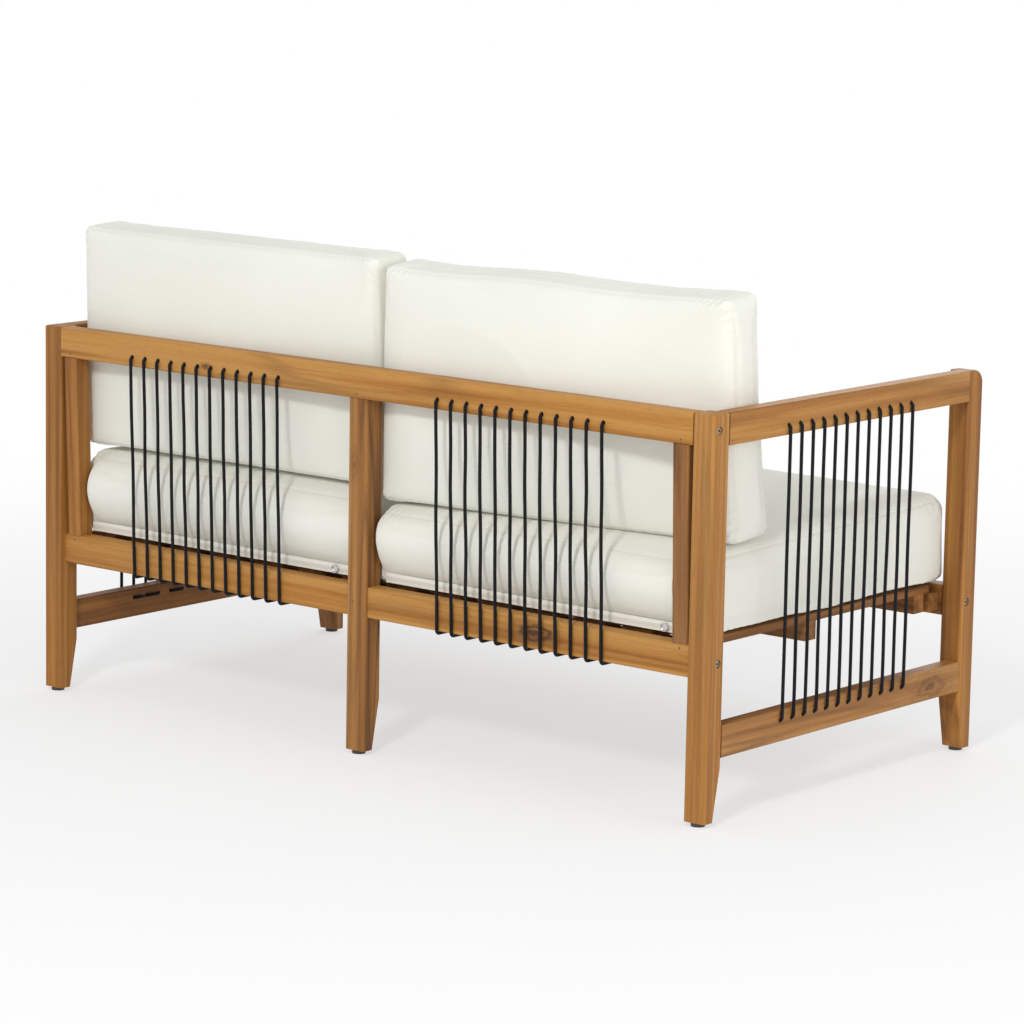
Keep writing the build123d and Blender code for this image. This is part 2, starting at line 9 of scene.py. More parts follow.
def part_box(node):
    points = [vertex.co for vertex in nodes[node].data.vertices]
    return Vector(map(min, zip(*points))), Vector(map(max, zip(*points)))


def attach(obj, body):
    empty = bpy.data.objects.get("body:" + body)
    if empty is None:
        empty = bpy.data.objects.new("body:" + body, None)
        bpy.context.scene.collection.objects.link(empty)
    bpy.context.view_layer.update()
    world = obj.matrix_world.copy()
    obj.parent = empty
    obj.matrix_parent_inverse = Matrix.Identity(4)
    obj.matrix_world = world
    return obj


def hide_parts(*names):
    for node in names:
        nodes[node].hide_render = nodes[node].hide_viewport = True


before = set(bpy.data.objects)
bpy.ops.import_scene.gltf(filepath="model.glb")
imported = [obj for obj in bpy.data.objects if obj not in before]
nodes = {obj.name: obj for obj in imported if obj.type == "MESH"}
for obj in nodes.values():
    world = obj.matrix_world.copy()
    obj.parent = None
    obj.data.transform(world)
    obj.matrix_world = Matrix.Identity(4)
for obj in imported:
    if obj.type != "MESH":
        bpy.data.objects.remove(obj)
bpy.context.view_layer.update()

MM = 0.001
TURN = 2 * math.pi
SIDES = {"left": 1, "right": -1}
AXES = {"x": 0, "y": 1, "z": 2}
scene = bpy.context.scene

# Camera, fitted to the photograph: angles in degrees, place in metres, lens and sensor in millimetres
VIEW_AZIMUTH = 219.28
VIEW_PITCH = 9.89
VIEW_ROLL = 1.06
VIEW_PLACE = (-4.25714, 5.16947, 1.52032)
VIEW_LENS = 143.516
VIEW_SENSOR = 36
VIEW_DEPTH = 100

camera_data = bpy.data.cameras.new("camera")
camera_data.sensor_fit = "HORIZONTAL"
camera_data.sensor_width = VIEW_SENSOR
camera_data.lens = VIEW_LENS
camera_data.clip_end = VIEW_DEPTH
camera = bpy.data.objects.new("camera", camera_data)
scene.collection.objects.link(camera)
camera.matrix_world = (Matrix.Translation(VIEW_PLACE)
                       @ Matrix.Rotation(math.radians(VIEW_AZIMUTH), 4, "Z")
                       @ Matrix.Rotation(math.radians(90 - VIEW_PITCH), 4, "X")
                       @ Matrix.Rotation(math.radians(VIEW_ROLL), 4, "Z"))
scene.camera = camera
scene.view_settings.view_transform = "Standard"


# Node trees

def is_output(value):
    return hasattr(value, "is_output")


class Tree:
    """A node tree that is emptied and built up again by short calls."""

    def __init__(self, owner):
        owner.use_nodes = True
        self.tree = owner.node_tree
        self.tree.nodes.clear()

    def add(self, kind, sockets=(), **values):
        """A node with the given values, and numbers or other nodes' outputs in the sockets named."""
        node = self.tree.nodes.new(kind)
        for key, value in values.items():
            setattr(node, key, value)
        for key, value in dict(sockets).items():
            self.put(node.inputs[key], value)
        return node

    def link(self, a, b):
        self.tree.links.new(a, b)

    def put(self, socket, value):
        """A number, a colour or another node's output into a socket."""
        if is_output(value):
            self.link(value, socket)
        else:
            socket.default_value = value

    def math(self, operation, a, b=0.0, c=0.0, clamp=False):
        node = self.add("ShaderNodeMath", operation=operation, use_clamp=clamp)
        for socket, value in zip(node.inputs, (a, b, c)):
            self.put(socket, value)
        return node.outputs[0]

    def wave(self, a):
        """A sine of a value, brought between 0 and 1."""
        return self.math("MULTIPLY_ADD", self.math("SINE", a), 0.5, 0.5)

    def split(self, vector):
        return self.add("ShaderNodeSeparateXYZ", {0: vector}).outputs

    def length(self, vector):
        return self.add("ShaderNodeVectorMath", {0: vector}, operation="LENGTH").outputs["Value"]


class Shader(Tree):
    """A material about one principled surface."""

    def __init__(self, name):
        self.material = bpy.data.materials.new(name)
        super().__init__(self.material)
        out = self.add("ShaderNodeOutputMaterial")
        self.surface = self.add("ShaderNodeBsdfPrincipled")
        self.link(self.surface.outputs["BSDF"], out.inputs["Surface"])

    def place(self, scale=(1, 1, 1), shift=(0, 0, 0)):
        """The object's own coordinates in metres, shifted and stretched."""
        coords = self.add("ShaderNodeTexCoord").outputs["Object"]
        mapping = self.add("ShaderNodeMapping", {"Vector": coords, "Scale": scale, "Location": shift})
        return mapping.outputs["Vector"]

    def noise(self, vector, scale, detail=3, rough=0.5, distortion=0.0):
        node = self.add("ShaderNodeTexNoise", {"Vector": vector, "Scale": scale, "Detail": detail,
                                               "Roughness": rough, "Distortion": distortion})
        return node.outputs["Fac"]

    def ramp(self, value, stops):
        node = self.add("ShaderNodeValToRGB", {"Fac": value})
        ramp = node.color_ramp
        while len(ramp.elements) < len(stops):
            ramp.elements.new(0.5)
        for element, (place, colour) in zip(ramp.elements, stops):
            element.position = place
            element.color = (*colour, 1)
        return node.outputs["Color"]

    def mix(self, factor, a, b, blend="MIX"):
        node = self.add("ShaderNodeMix", data_type="RGBA", blend_type=blend)
        self.put(node.inputs[0], factor)
        for socket, value in ((node.inputs[6], a), (node.inputs[7], b)):
            self.put(socket, value if is_output(value) else (*value, 1))
        return node.outputs[2]

    def finish(self, sockets, height, strength, distance):
        """The surface's values by name, and its bump from a height; distance in metres. Gives the material."""
        for key, value in sockets.items():
            self.put(self.surface.inputs[key], value)
        bump = self.add("ShaderNodeBump", {"Strength": strength, "Distance": distance, "Height": height})
        self.link(bump.outputs["Normal"], self.surface.inputs["Normal"])
        return self.material


# Wood

# Layers of noise: scale across and along the grain, detail, roughness and distortion
BOARD_LAYER = (13, 0.55, 2, 0.45, 0.4)
FIGURE_LAYER = (16, 1.3, 2, 0.5, 0.0)
BAND_LAYER = (30, 0.9, 3, 0.5, 0.3)
STREAK_LAYER = (140, 2.2, 4, 0.6, 0.0)
FIBRE_LAYER = (900, 14, 3, 0.65, 0.0)
PORE_LAYER = (2200, 60, 2, 0.6, 0.0)
DRIFT_LAYER = (9, 0.7, 1, 0.5, 0.0)
LAYER_SHIFT = 9
# How much each layer, and the board's tone, lightens the wood
BAND_LIGHT = 1.1
STREAK_LIGHT = 0.62
FIBRE_LIGHT = 0.2
TONE_LIGHT = 0.34
RING_TURNS = (9, 13)
RING_EDGE = 3.5
FIGURE_GAIN = 3.2
FIGURE_START = -1.15
VEIN_SHARE = 0.5
WARM_SPREAD = 0.9
PORE_SHARE = 0.55
PORE_DEPTH = 0.6
WOOD_ROUGH = 0.62
WOOD_SHINE = -0.14
BROWN = [
    (0.20, (0.075, 0.031, 0.014)),
    (0.36, (0.150, 0.064, 0.024)),
    (0.50, (0.232, 0.104, 0.036)),
    (0.64, (0.305, 0.143, 0.048)),
    (0.82, (0.400, 0.212, 0.082)),
]
GOLDEN = [
    (0.20, (0.110, 0.038, 0.010)),
    (0.36, (0.215, 0.078, 0.015)),
    (0.50, (0.330, 0.130, 0.022)),
    (0.64, (0.425, 0.178, 0.031)),
    (0.82, (0.520, 0.255, 0.062)),
]
PORES = [(0.33, (0.62, 0.58, 0.54)), (0.46, (1, 1, 1))]
VEIN_BROWN = (0.085, 0.034, 0.014)
KNOT_BROWN = (0.085, 0.032, 0.014)
KNOT_LENGTHWISE = 0.4
KNOT_UNEVEN = 0.9
KNOT_WAVES = 1.7
KNOT_RINGS = 13.0
KNOT_RING_DEPTH = 0.3
KNOT_FADE = -0.9
KNOT_HEART = 1.15


def knot(shader, axis, spot, size, strength):
    """How far a knot darkens each point: uneven rings round a spot, drawn out along the grain."""
    scale = [1 / size] * 3
    scale[AXES[axis]] = KNOT_LENGTHWISE / size
    around = shader.place(scale=scale, shift=[-c * k for c, k in zip(spot, scale)])
    centred = shader.math("ADD", shader.length(around), -KNOT_UNEVEN / 2)
    uneven = shader.noise(around, KNOT_WAVES, 3, 0.6)
    far = shader.math("MULTIPLY_ADD", uneven, KNOT_UNEVEN, centred)
    rings = shader.math("SINE", shader.math("MULTIPLY", far, KNOT_RINGS))
    rings = shader.math("MULTIPLY_ADD", rings, KNOT_RING_DEPTH, 1 - KNOT_RING_DEPTH)
    fade = shader.math("MULTIPLY_ADD", far, KNOT_FADE, KNOT_HEART, clamp=True)
    return shader.math("MULTIPLY", shader.math("MULTIPLY", rings, fade), strength)


def wood(name, axis, seed, tone, warm, figure, knots):
    """Oiled tropical hardwood, its grain along one axis; seed moves the board within the log."""
    rng = random.Random(seed)
    shader = Shader(name)

    def layer(across, along, detail, rough, distortion):
        scale = [across] * 3
        scale[AXES[axis]] = along
        shift = [rng.uniform(-LAYER_SHIFT, LAYER_SHIFT) for _ in range(3)]
        return shader.noise(shader.place(scale=scale, shift=shift), 1.0, detail, rough, distortion)

    board = layer(*BOARD_LAYER)
    rings = shader.wave(shader.math("MULTIPLY", board, TURN * rng.uniform(*RING_TURNS)))
    rings = shader.math("POWER", rings, RING_EDGE)
    strength = shader.math("MULTIPLY_ADD", layer(*FIGURE_LAYER), FIGURE_GAIN, FIGURE_START, clamp=True)
    veins = shader.math("MULTIPLY", rings, shader.math("MULTIPLY", strength, figure))
    bands = layer(*BAND_LAYER)
    streaks = layer(*STREAK_LAYER)
    fibres = layer(*FIBRE_LAYER)
    pores = layer(*PORE_LAYER)

    light = shader.math("MULTIPLY_ADD", bands, BAND_LIGHT, shader.math("MULTIPLY", streaks, STREAK_LIGHT))
    light = shader.math("MULTIPLY_ADD", fibres, FIBRE_LIGHT, light)
    middle = (BAND_LIGHT + STREAK_LIGHT + FIBRE_LIGHT) / 2
    light = shader.math("ADD", light, 0.5 - middle + TONE_LIGHT * (tone - 0.5))
    drift = shader.math("MULTIPLY_ADD", layer(*DRIFT_LAYER), WARM_SPREAD, warm - WARM_SPREAD / 2, clamp=True)
    colour = shader.mix(drift, shader.ramp(light, BROWN), shader.ramp(light, GOLDEN))
    colour = shader.mix(shader.math("MULTIPLY", veins, VEIN_SHARE), colour, VEIN_BROWN)
    for spot, size, darkness in knots:
        colour = shader.mix(knot(shader, axis, spot, size, darkness), colour, KNOT_BROWN)
    colour = shader.mix(PORE_SHARE, colour, shader.ramp(pores, PORES), "MULTIPLY")
    height = shader.math("MULTIPLY_ADD", pores, PORE_DEPTH, shader.math("MULTIPLY", fibres, 1 - PORE_DEPTH))
    return shader.finish({
        "Base Color": colour,
        "Roughness": shader.math("MULTIPLY_ADD", fibres, WOOD_SHINE, WOOD_ROUGH),
        "Specular IOR Level": 0.28,
    }, height, 0.25, 0.5 * MM)


def end_grain(name):
    """Dark end grain of a peg."""
    shader = Shader(name)
    rough = shader.noise(shader.place(), 900, 3, 0.6)
    return shader.finish({"Base Color": shader.ramp(rough, PEG_BROWNS), "Roughness": 0.7}, rough, 0.4, 0.4 * MM)


# Cloth, cord, metal and plastic: scales, sizes and colours

CREAM = [(0.25, (0.78, 0.778, 0.70)), (0.75, (0.845, 0.845, 0.775))]
# Painted shade along a seam: the cloth darkens towards this tone in the seam's groove, where shade falls
SEAM_PAINTED_SHADE = [(0.25, (0.74, 0.73, 0.69)), (1.0, (1, 1, 1))]
# Tones of the tape and of the teeth; each ramp's darker end is painted shade in the grooves of the twill and of the
# coil
TAPE_TONES = [(0.0, (0.80, 0.79, 0.70)), (1.0, (0.86, 0.85, 0.77))]
TEETH_TONES = [(0.0, (0.62, 0.61, 0.55)), (1.0, (0.86, 0.85, 0.79))]
# Black of the cord: its darker end is partly painted shade in the grooves between the strands and partly a random
# fibre tone
CORD_BLACKS = [(0.2, (0.002, 0.002, 0.003)), (0.9, (0.011, 0.011, 0.014))]
PEG_BROWNS = [(0.3, (0.10, 0.045, 0.018)), (0.7, (0.24, 0.12, 0.05))]
METAL_WORN = 0.72
PLASTIC_WORN = 0.8
WEAVE_SCALE = 330
SLUB_SCALE = (40, 40, 400)
CLOUD_SCALE = 5.0
SLUB_SHARE = 0.35
# Width of the painted shade line along a seam
SEAM_LINE = 1.3 * MM
STRAND_PITCH = 4.2 * MM
STRANDS = 4
# Share of the painted groove shade in the cord's tone, the rest a random fibre tone
BRAID_SHARE = 0.7
ZIP_PITCH = 2.2 * MM
ZIP_LEAN = 5.0 * MM
ZIP_COIL_HALF = 2.6 * MM
TWILL_LINES = 4.0
TWILL_DEPTH = 0.25


def cover_cloth(name):
    """Plain-woven cream cover cloth with a faint slub and a soft sheen, and painted shade along its seams."""
    shader = Shader(name)
    threads = []
    for axis in "XYZ":
        thread = shader.add("ShaderNodeTexWave", {
            "Vector": shader.place(), "Scale": WEAVE_SCALE, "Distortion": 1.2, "Detail": 1, "Detail Scale": 0.4,
        }, wave_type="BANDS", bands_direction=axis, wave_profile="SIN")
        threads.append(thread.outputs["Fac"])
    weave = shader.math("MULTIPLY", shader.math("ADD", threads[0], threads[1]), 0.5)
    weave = shader.math("MULTIPLY", shader.math("ADD", weave, threads[2]), 0.5)
    slub = shader.noise(shader.place(scale=SLUB_SCALE), 1.0, 3, 0.6)
    cloud = shader.noise(shader.place(), CLOUD_SCALE, 2, 0.5)
    tint = shader.math("MULTIPLY_ADD", slub, SLUB_SHARE, shader.math("MULTIPLY", cloud, 1 - SLUB_SHARE))
    colour = shader.ramp(tint, CREAM)
    # Painted shade: a dark line drawn along each seam from the distance to it, for the shade in the seam's groove
    seam = shader.add("ShaderNodeAttribute", attribute_name="seam_gap").outputs["Fac"]
    painted_seam_shade = shader.ramp(shader.math("MULTIPLY", seam, 1 / SEAM_LINE), SEAM_PAINTED_SHADE)
    return shader.finish({
        "Base Color": shader.mix(1.0, colour, painted_seam_shade, "MULTIPLY"),
        "Roughness": 0.86,
        "Specular IOR Level": 0.25,
        "Sheen Weight": 0.25,
        "Sheen Roughness": 0.45,
    }, weave, 0.12, 0.4 * MM)


def braided(name):
    """Black braided cord: crossing strands laid out along the tube's own coordinates, with painted shade in the
    grooves between the strands.
    """
    shader = Shader(name)
    uv = shader.add("ShaderNodeTexCoord").outputs["UV"]
    run, turn = shader.split(uv)[:2]
    along = shader.math("MULTIPLY", run, TURN / STRAND_PITCH)
    around = shader.math("MULTIPLY", turn, TURN * STRANDS)
    one = shader.math("SINE", shader.math("ADD", along, around))
    two = shader.math("SINE", shader.math("SUBTRACT", along, around))
    braid = shader.math("MULTIPLY_ADD", shader.math("MULTIPLY", one, two), 0.5, 0.5)
    fibre = shader.noise(uv, 2600, 2, 0.6)
    # The cord's tone: painted shade where the braid sinks between strands, mixed with a random fibre tone
    shade = shader.math("MULTIPLY_ADD", fibre, 1 - BRAID_SHARE, shader.math("MULTIPLY", braid, BRAID_SHARE))
    return shader.finish({
        "Base Color": shader.ramp(shade, CORD_BLACKS),
        "Roughness": 0.75,
        "Specular IOR Level": 0.2,
        "Sheen Weight": 0.03,
    }, braid, 0.75, 0.6 * MM)


def worn_metal(name, colour, roughness):
    """Plated metal with fine wear."""
    shader = Shader(name)
    wear = shader.noise(shader.place(), 700, 4, 0.6)
    return shader.finish({
        "Base Color": shader.ramp(wear, [(0.3, tuple(v * METAL_WORN for v in colour)), (0.7, colour)]),
        "Metallic": 1.0,
        "Roughness": shader.math("MULTIPLY_ADD", wear, 0.25, roughness - 0.1),
    }, wear, 0.15, 0.2 * MM)


def moulded(name, colour):
    """Dark moulded plastic with a fine stipple."""
    shader = Shader(name)
    grit = shader.noise(shader.place(), 1500, 2, 0.5)
    tone = shader.ramp(grit, [(0.3, tuple(v * PLASTIC_WORN for v in colour)), (0.7, colour)])
    return shader.finish({"Base Color": tone, "Roughness": 0.55}, grit, 0.25, 0.3 * MM)


def zip_cloth(name, mid_z):
    """Woven zip tape, with the closed coil of teeth along its middle; the twill's lines and the coil's stripes are
    darker in their grooves, as painted shade.
    """
    shader = Shader(name)
    x, _, z = shader.split(shader.place())[:3]
    off = shader.math("ABSOLUTE", shader.math("SUBTRACT", z, mid_z))
    teeth = shader.math("LESS_THAN", off, ZIP_COIL_HALF)
    lean = shader.math("MULTIPLY", z, TURN / ZIP_LEAN)
    coil = shader.wave(shader.math("ADD", shader.math("MULTIPLY", x, TURN / ZIP_PITCH), lean))
    twill = shader.wave(shader.math("MULTIPLY", lean, TWILL_LINES))
    # Painted shade: the twill lines and the coil's stripes are darker where their bump sinks
    colour = shader.mix(teeth, shader.ramp(twill, TAPE_TONES), shader.ramp(coil, TEETH_TONES))
    height = shader.mix(teeth, shader.math("MULTIPLY", twill, TWILL_DEPTH), coil)
    return shader.finish({"Base Color": colour, "Roughness": 0.6}, height, 0.6, 0.5 * MM)


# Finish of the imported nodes

def dress(node, material):
    """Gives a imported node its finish."""
    slots = nodes[node].material_slots
    if not slots:
        nodes[node].data.materials.append(None)
        slots = nodes[node].material_slots
    for one in slots:
        one.link = "OBJECT"
        one.material = material


GRAIN = {"post": "z", "stile": "z", "leg": "z", "arm": "y", "slat": "y", "ledger": "x", "batten": "x",
         "rail": "x", "apron": "x"}
WOOD_SEED = 40
# Tone, warmth and strength of figure of the boards that the photograph shows clearly, and of the others
BOARDS = {
    "back_top_rail": (1.20, 1.00, 0.7), "front_apron": (0.32, 0.35, 1.3),
    "back_lower_rail_left": (0.93, 0.90, 0.6), "back_lower_rail_right": (1.36, 0.85, 0.5),
    "back_centre_leg": (0.74, 0.45, 1.9),
    "rear_post_left": (0.80, 0.75, 1.0), "rear_post_right": (1.06, 0.68, 0.8),
    "front_post_left": (0.55, 0.50, 0.8), "front_post_right": (0.90, 0.80, 0.6),
    "arm_rail_left": (0.60, 0.50, 0.7), "arm_rail_right": (1.03, 0.75, 0.9),
    "arm_stretcher_left": (0.36, 0.50, 0.8), "arm_stretcher_right": (1.02, 0.50, 1.1),
    "back_stile_left": (0.50, 0.70, 0.3), "back_stile_right": (0.52, 0.35, 0.6),
}
PLAIN_BOARD = (0.4, 0.4, 0.8)
# Knots: place and size across the grain in metres, and strength
KNOTS = {
    "back_lower_rail_right": [((-0.366, 0.350, 0.250), 0.019, 1.5), ((-0.27, 0.350, 0.238), 0.007, 0.4)],
    "back_top_rail": [((0.3295, 0.360, 0.597), 0.006, 1.4)],
    "arm_stretcher_right": [((-0.707, -0.245, 0.124), 0.022, 0.8)],
    "back_centre_leg": [((0.006, 0.356, 0.470), 0.012, 0.5)],
}

steel = worn_metal("plated_steel", (0.42, 0.40, 0.37), 0.38)
zinc = worn_metal("zip_metal", (0.72, 0.71, 0.68), 0.3)
cloth = cover_cloth("cover_cloth")
cord_black = braided("braided_cord")

for index, node in enumerate(sorted(nodes)):
    word = next((key for key in GRAIN if key in node), None)
    if word and "lacing" not in node:
        look = BOARDS.get(node, PLAIN_BOARD)
        dress(node, wood("wood_" + node, GRAIN[word], WOOD_SEED + index, *look, KNOTS.get(node, ())))
for node in ("frame_bolts", "barrel_nuts", "cord_staples"):
    dress(node, steel)
dress("joint_pins", end_grain("peg_wood"))
dress("foot_glides", moulded("glide_plastic", (0.05, 0.042, 0.036)))
for word in SIDES:
    dress("zip_slider_" + word, zinc)
    low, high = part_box("zip_tape_" + word)
    dress("zip_tape_" + word, zip_cloth("zip_cloth_" + word, (low[2] + high[2]) / 2))


# Shared mesh helpers

def new_object(name, bm, material, smooth=True):
    mesh = bpy.data.meshes.new(name)
    bm.to_mesh(mesh)
    bm.free()
    for polygon in mesh.polygons:
        polygon.use_smooth = smooth
    mesh.materials.append(material)
    thing = bpy.data.objects.new(name, mesh)
    scene.collection.objects.link(thing)
    return thing


def apply_modifiers(thing):
    """Replaces the object's mesh by its evaluated one and drops its modifiers."""
    graph = bpy.context.evaluated_depsgraph_get()
    mesh = bpy.data.meshes.new_from_object(thing.evaluated_get(graph))
    thing.modifiers.clear()
    thing.data = mesh


# Lacing: sizes of the cord and of the frame that it follows, as the solids have them

CORD_RADIUS = 2.75 * MM
CORD_SIDES = 14
ARC_STEPS = 6
FACE_OFFSET = CORD_RADIUS + 0.8 * MM
BACK_OFFSET = CORD_RADIUS + 1.2 * MM
WRAP_OFFSET = CORD_RADIUS + 0.3 * MM
BEND = 5.5 * MM
UNDER_BEND = 3.0 * MM + WRAP_OFFSET
PITCH = 30.0 * MM
RUNS = 12
ARM_SHIFT = 9.0 * MM
HOLE_EDGE = 16.0 * MM
LINK_RISE = 20.0 * MM
TAIL = 20.0 * MM
# A long run's sway: its least length, its steps, and the range of its swing and of its waves
LONG_RUN = 100.0 * MM
RUN_STEPS = 14
RUN_SWING = (0.4, 1.1)
RUN_WAVES = (1.2, 2.4)
LACING_SEED = 12


def rounded_route(points, radii):
    """Straight runs with a round turn of the given radius at each inner point."""
    route = [Vector(points[0])]
    for i in range(1, len(points) - 1):
        here, before, after = Vector(points[i]), Vector(points[i - 1]), Vector(points[i + 1])
        a = (before - here).normalized()
        b = (after - here).normalized()
        turn = math.pi - a.angle(b)
        radius = radii[i - 1]
        start = here + a * (radius * math.tan(turn / 2))
        centre = here + (a + b).normalized() * (radius / math.cos(turn / 2))
        first = start - centre
        second = -a * radius
        for k in range(ARC_STEPS + 1):
            angle = turn * k / ARC_STEPS
            route.append(centre + first * math.cos(angle) + second * math.sin(angle))
    route.append(Vector(points[-1]))
    return route


def tube(name, route, radius, material):
    """A round tube along a route, its length in metres and its turn written as coordinates."""
    bm = bmesh.new()
    uv = bm.loops.layers.uv.new("cord")
    last = len(route) - 1
    tangents = [(route[min(i + 1, last)] - route[max(i - 1, 0)]).normalized() for i in range(last + 1)]
    side = tangents[0].orthogonal().normalized()
    rings = []
    lengths = [0.0]
    for before, point in zip(route, route[1:]):
        lengths.append(lengths[-1] + (point - before).length)
    for point, tangent in zip(route, tangents):
        side = (side - tangent * side.dot(tangent)).normalized()
        up = tangent.cross(side)
        ring = []
        for k in range(CORD_SIDES):
            angle = TURN * k / CORD_SIDES
            ring.append(bm.verts.new(point + (side * math.cos(angle) + up * math.sin(angle)) * radius))
        rings.append(ring)
    for i in range(last):
        for k in range(CORD_SIDES):
            n = (k + 1) % CORD_SIDES
            face = bm.faces.new((rings[i][k], rings[i][n], rings[i + 1][n], rings[i + 1][k]))
            corners = ((lengths[i], k), (lengths[i], k + 1), (lengths[i + 1], k + 1), (lengths[i + 1], k))
            for loop, (u, v) in zip(face.loops, corners):
                loop[uv].uv = (u, v / CORD_SIDES)
    bm.faces.new(rings[0][::-1])
    bm.faces.new(rings[-1])
    return new_object(name, bm, material)


def places(middle):
    """Where the runs of a bay lie, from one end to the other."""
    return [middle + PITCH * (RUNS - 1) / 2 - i * PITCH for i in range(RUNS)]


def arm_route(side):
    """The cord of one arm: through each hole, along outside, and on by a link inside."""
    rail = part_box("arm_rail_left")
    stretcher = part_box("arm_stretcher_left")
    rear_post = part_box("rear_post_left")
    front_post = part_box("front_post_left")
    outer = rail[1][0] + FACE_OFFSET
    inner = rail[0][0] - FACE_OFFSET
    high = rail[0][2] + HOLE_EDGE
    low = stretcher[1][2] - HOLE_EDGE
    ys = places((front_post[1][1] + rear_post[0][1]) / 2 + ARM_SHIFT)
    points = [(inner, ys[0] - TAIL, low)]
    for index, y in enumerate(ys):
        a, b = (high, low) if index % 2 else (low, high)
        points += [(inner, y, a), (outer, y, a), (outer, y, b), (inner, y, b)]
    points.append((inner, ys[-1] + TAIL, low))
    points = [(side * x, y, z) for x, y, z in points]
    return rounded_route(points, [BEND] * (len(points) - 2))


def back_route(side):
    """The cord of one bay of the back: through the top rail, down behind it, and under and up the lower rail."""
    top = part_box("back_top_rail")
    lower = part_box("back_lower_rail_left")
    xs = places(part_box("rear_post_left")[0][0] / 2)
    rear_run = top[1][1] + BACK_OFFSET
    link = top[0][1] - FACE_OFFSET
    high = top[0][2] + HOLE_EDGE
    wrap_rear = lower[1][1] + WRAP_OFFSET
    wrap_front = lower[0][1] - WRAP_OFFSET
    wrap_under = lower[0][2] - WRAP_OFFSET
    link_z = lower[0][2] + LINK_RISE
    points = [(xs[0], wrap_front, link_z + CORD_RADIUS)]
    radii = []
    for index, x in enumerate(xs):
        corners = [(x, wrap_front, wrap_under), (x, wrap_rear, wrap_under), (x, rear_run, high), (x, link, high)]
        bends = [UNDER_BEND, UNDER_BEND, BEND, BEND]
        turn_point = [(x, wrap_front, link_z)]
        if index % 2:
            corners, bends = corners[::-1], bends[::-1]
            if index < RUNS - 1:
                corners, bends = corners + turn_point, bends + [BEND]
        elif index:
            corners, bends = turn_point + corners, [BEND] + bends
        points += corners
        radii += bends
    points.append((xs[-1], wrap_front, link_z + CORD_RADIUS))
    points = [(side * x, y, z) for x, y, z in points]
    return rounded_route(points, radii)


def hand_laid(route, across, rng):
    """The route with its long straight runs a little out of true, as a hand pulls them."""
    laid = [route[0]]
    for before, after in zip(route, route[1:]):
        if (after - before).length > LONG_RUN:
            swing = rng.uniform(*RUN_SWING) * MM
            waves = rng.uniform(*RUN_WAVES)
            phase = rng.uniform(0, TURN)
            for k in range(1, RUN_STEPS):
                t = k / RUN_STEPS
                sway = swing * math.sin(math.pi * t) * math.sin(TURN * waves * t + phase)
                laid.append(before.lerp(after, t) + across * sway)
        laid.append(after)
    return laid


cord_rng = random.Random(LACING_SEED)
LACED = (("arm", arm_route, Vector((0, 1, 0))), ("back", back_route, Vector((1, 0, 0))))
for word, side in SIDES.items():
    for kind, route, across in LACED:
        laid = hand_laid(route(side), across, cord_rng)
        piece = tube(f"{kind}_cord_{word}", laid, CORD_RADIUS, cord_black)
        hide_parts(f"{kind}_lacing_{word}")
        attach(piece, "frame")


# Cushions: how the covers are made, swollen, crowned and seamed

CUTS = 46
COVER_IN = 1.0 * MM
PRESSURE = 4.0
FRAMES = 16
SWELL_CAP = 3.5 * MM
SOFT_EDGE = 3.0 * MM
VOXEL = 6.0 * MM
NEIGHBOUR_GAP = 0.5 * MM
CROWN_POWER = 3
CROWN_EDGE = 1.3
# A seam lies this share of an edge's round in from its sides
SEAM_IN = 0.29
SEAM_DEPTH = 1.2 * MM
SEAM_REACH = 3.2 * MM
SEAM_BAND = 14 * SEAM_REACH
FAR_SEAM = 1.0
# Unevenness of a cover: height, and waves in a metre
LUMPS = ((1.1 * MM, 8.0), (0.5 * MM, 21.0))
# Puckers beside a seam: length, height along it and more at a corner, and how far both reach
PUCKER_LONG = 17 * MM
PUCKER_HEIGHT = 0.10 * MM
PUCKER_CORNER = 0.65 * MM
PUCKER_REACH = 20 * MM
PUCKER_RUN = Vector((1.31, 1.0, 0.6))
PUCKER_STRAY = 5
PUCKER_WAVES = 14
CORNER_REACH = 45 * MM
SEED_STEP = Vector((3.7, 1.3, 2.1))


def rounded_box(name, half, rounds, plan_round):
    """A closed box about the origin with soft edges: rounds for the lower and upper ones, plan_round in plan."""
    bm = bmesh.new()
    bmesh.ops.create_cube(bm, size=2)
    bmesh.ops.subdivide_edges(bm, edges=bm.edges, cuts=CUTS, use_grid_fill=True)
    for vert in bm.verts:
        soft = rounds[0] + (rounds[1] - rounds[0]) * (vert.co.z + 1) / 2
        radii = Vector((plan_round, soft, soft))
        p = Vector([vert.co[i] * half[i] for i in range(3)])
        core = Vector([max(radii[i] - half[i], min(half[i] - radii[i], p[i])) for i in range(3)])
        off = Vector([(p[i] - core[i]) / radii[i] for i in range(3)])
        if off.length > 1:
            off.normalize()
        vert.co = core + Vector([off[i] * radii[i] for i in range(3)])
    return new_object(name, bm, cloth)


def inflate(thing):
    """Voxel remesh, then cloth under pressure, each point held within a cap. Gives the points that it began with."""
    remesh = thing.modifiers.new("remesh", "REMESH")
    remesh.mode = "VOXEL"
    remesh.voxel_size = VOXEL
    apply_modifiers(thing)
    rest = [v.co.copy() for v in thing.data.vertices]
    sim = thing.modifiers.new("cloth", "CLOTH")
    sim.settings.quality = 3
    sim.settings.use_pressure = True
    sim.settings.uniform_pressure_force = PRESSURE
    sim.settings.effector_weights.gravity = 0
    sim.collision_settings.use_collision = False
    sim.point_cache.frame_start = 1
    sim.point_cache.frame_end = FRAMES
    for number in range(1, FRAMES + 1):
        scene.frame_set(number)
    apply_modifiers(thing)
    scene.frame_set(1)
    for vert, start in zip(thing.data.vertices, rest):
        way = vert.co - start
        if way.length > SWELL_CAP:
            vert.co = start + way * (SWELL_CAP / way.length)
    return rest


